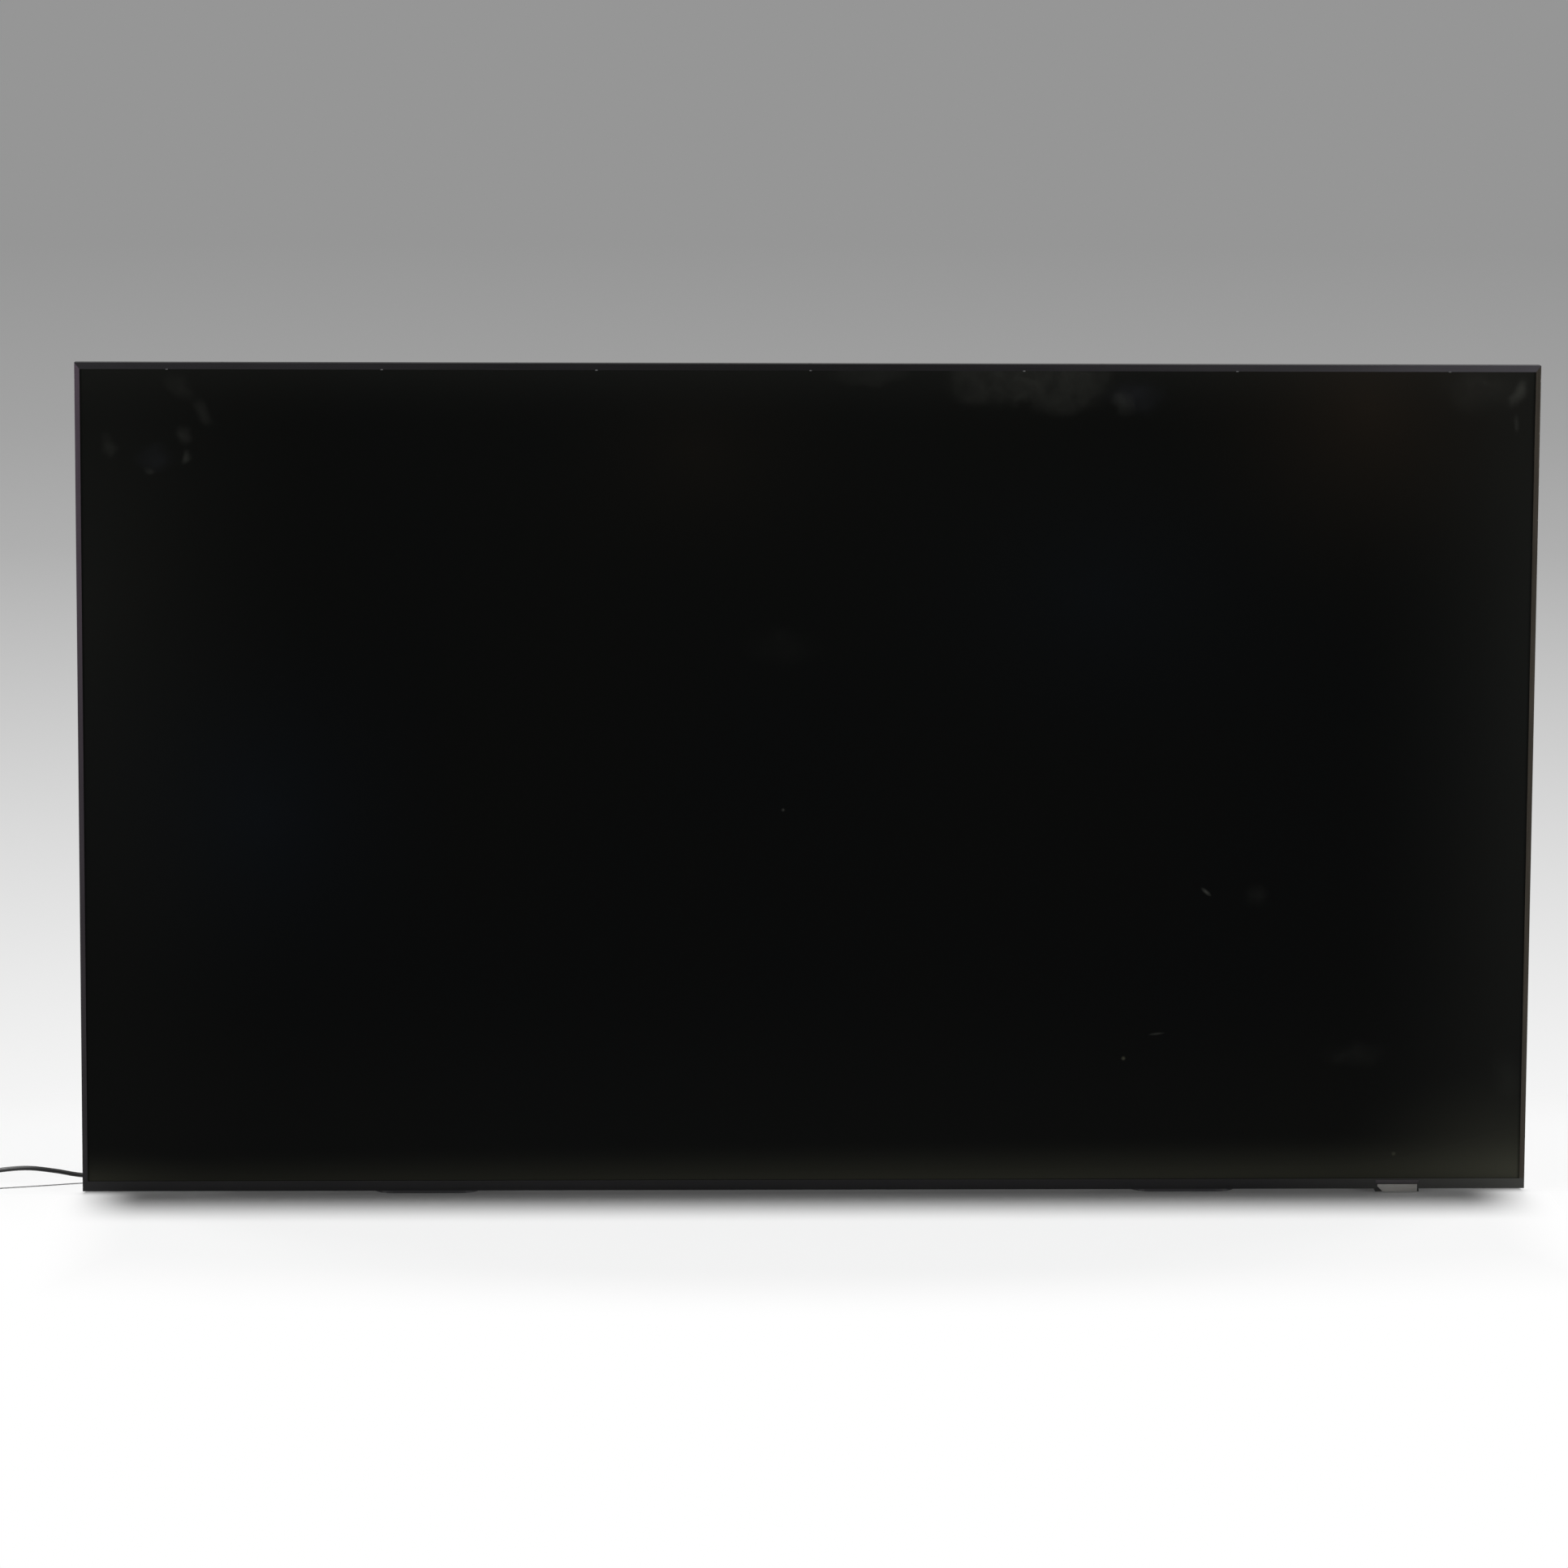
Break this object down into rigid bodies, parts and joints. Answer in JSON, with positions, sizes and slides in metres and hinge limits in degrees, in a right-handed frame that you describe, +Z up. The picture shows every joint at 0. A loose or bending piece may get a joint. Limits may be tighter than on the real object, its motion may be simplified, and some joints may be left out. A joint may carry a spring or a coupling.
{
  "type": "flat screen television",
  "caption": "Flat screen television with a thin dark frame, black screen, stepped rear cover, wall mount bosses, sockets for push-in stand legs and a flat mains lead.",
  "frame": {"origin": "on the floor, under the middle of the set's width and depth", "axes": "+X to the right seen from the front, -Y out of the screen, +Z up"},
  "size_m": [1.6575, 0.1527, 0.8348],
  "materials": {
    "rail_aluminium": "dark anodised, satin",
    "chin_plastic": "moulded, fine texture",
    "black_steel": "blackened",
    "polariser_film": "anti-glare gloss",
    "cell_glass": "coated glass",
    "gasket_foam": "foam",
    "frame_plastic": "moulded",
    "optical_film": "frosted",
    "diffuser_white": "frosted",
    "strip_aluminium": "white coated",
    "lens_plastic": "clear moulded",
    "tray_steel": "galvanised",
    "turned_steel": "turned, zinc plated",
    "tape_film": "polyimide",
    "board_green": "solder mask",
    "board_tan": "bare laminate",
    "ribbon_white": "laminated",
    "sink_aluminium": "extruded",
    "can_steel": "tin plated",
    "socket_nickel": "nickel plated",
    "core_yellow": "taped ferrite",
    "sleeve_black": "shrink sleeve",
    "cover_plastic": "moulded, fine texture",
    "black_plastic": "moulded",
    "lead_vinyl": "vinyl",
    "driver_steel": "painted",
    "cone_plastic": "pressed",
    "window_plastic": "dark tinted",
    "badge_metal": "brushed, bare",
    "cord_vinyl": "vinyl",
    "blade_brass": "plated"
  },
  "bodies": {
    "set": {"top_rail": "rail_aluminium", "left_rail": "rail_aluminium", "right_rail": "rail_aluminium", "bottom_chin": "chin_plastic", "sensor_pod": "chin_plastic", "frame_screws": "black_steel", "cover_screws": "black_steel", "front_polariser": "polariser_film", "lcd_cell": "cell_glass", "panel_gaskets": "gasket_foam", "middle_frame": "frame_plastic", "prism_film": "optical_film", "diffuser_film": "optical_film", "diffuser_plate": "diffuser_white", "reflector_sheet": "diffuser_white", "led_strips": "strip_aluminium", "led_lenses": "lens_plastic", "back_tray": "tray_steel", "mount_rails": "tray_steel", "leg_sockets": "tray_steel", "cover_bosses": "tray_steel", "vesa_bosses": "turned_steel", "board_standoffs": "turned_steel", "board_screws": "turned_steel", "push_switch": "turned_steel", "panel_tapes": "tape_film", "source_boards": "board_green", "timing_board": "board_green", "main_board": "board_green", "wifi_board": "board_green", "sensor_board": "board_green", "power_board": "board_tan", "ribbon_cables": "ribbon_white", "main_heatsink": "sink_aluminium", "power_heatsinks": "sink_aluminium", "shield_can": "can_steel", "hdmi_sockets": "socket_nickel", "usb_sockets": "socket_nickel", "lan_socket": "socket_nickel", "antenna_socket": "socket_nickel", "power_transformers": "core_yellow", "power_capacitors": "sleeve_black", "rear_cover": "cover_plastic", "jack_panel": "cover_plastic", "ac_inlet": "black_plastic", "left_speaker_box": "black_plastic", "right_speaker_box": "black_plastic", "inlet_leads": "lead_vinyl", "wire_harness": "lead_vinyl", "left_speaker_driver": "driver_steel", "right_speaker_driver": "driver_steel", "ir_window": "window_plastic", "badge_plate": "badge_metal", "power_cord": "cord_vinyl", "cord_connector": "cord_vinyl", "mains_plug": "cord_vinyl", "plug_blades": "blade_brass"},
    "button": {"power_button": "chin_plastic"},
    "left_cone": {"left_speaker_cone": "cone_plastic"},
    "right_cone": {"right_speaker_cone": "cone_plastic"}
  },
  "joints": [
    {"name": "button_press", "type": "slide", "parent": "set", "child": "button", "axis": [0, 0, 1], "range_m": [0, 0.0005], "stiffness_N_per_m": 300},
    {"name": "left_cone_stroke", "type": "slide", "parent": "set", "child": "left_cone", "axis": [0, 0, 1], "range_m": [-0.001, 0.001], "stiffness_N_per_m": 250},
    {"name": "right_cone_stroke", "type": "slide", "parent": "set", "child": "right_cone", "axis": [0, 0, 1], "range_m": [-0.001, 0.001], "stiffness_N_per_m": 250}
  ]
}
